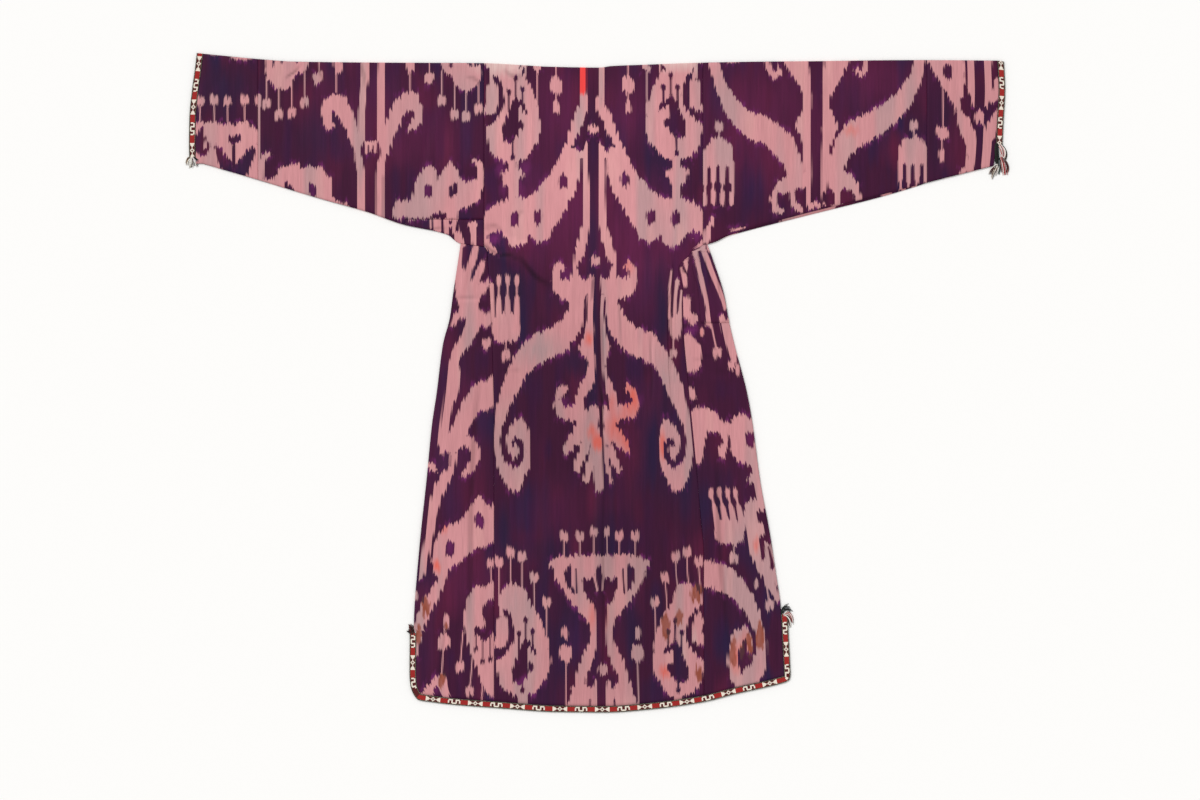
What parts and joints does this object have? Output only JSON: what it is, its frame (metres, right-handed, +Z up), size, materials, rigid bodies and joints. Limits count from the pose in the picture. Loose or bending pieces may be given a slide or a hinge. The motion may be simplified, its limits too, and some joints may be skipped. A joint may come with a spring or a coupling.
{
  "type": "central asian chapan robe laid flat",
  "caption": "Ikat-dyed chapan robe laid flat, back side up, with straight sleeves, flared side gores, woven edging at the cuffs, slits and hem, and thread tassels.",
  "frame": {"origin": "middle of the robe's outline, on the surface that it lies on", "axes": "+X from the left sleeve's cuff to the right sleeve's cuff as seen from above, +Y from the hem to the shoulder fold, +Z up from the surface, out of the robe's back"},
  "size_m": [1.6388, 1.3194, 0.0066],
  "materials": {
    "ikat_cloth": "warp-ikat silk and cotton cloth, soft sheen, plum, indigo and rose",
    "edging": "narrow woven band, red with white figures between dark green cords",
    "tassel_thread": "loose cotton and silk thread ends, white, grey, green, red and black"
  },
  "bodies": {
    "root": {"back_panel": "ikat_cloth", "cuff_piece_left": "ikat_cloth", "cuff_piece_right": "ikat_cloth", "front_panel_left": "ikat_cloth", "front_panel_right": "ikat_cloth", "gore_back_left": "ikat_cloth", "gore_back_right": "ikat_cloth", "gore_front_left": "ikat_cloth", "gore_front_right": "ikat_cloth", "gore_patch_right": "ikat_cloth", "gusset_left": "ikat_cloth", "sleeve_left": "ikat_cloth", "sleeve_right": "ikat_cloth", "tassel_cuff_left": "tassel_thread", "tassel_cuff_right": "tassel_thread", "tassel_cuff_right_small": "tassel_thread", "tassel_slit_left": "tassel_thread", "tassel_slit_right": "tassel_thread", "trim_back": "edging", "trim_cuff_left": "edging", "trim_cuff_right": "edging", "trim_front_left": "edging", "trim_front_right": "edging"}
  },
  "joints": []
}
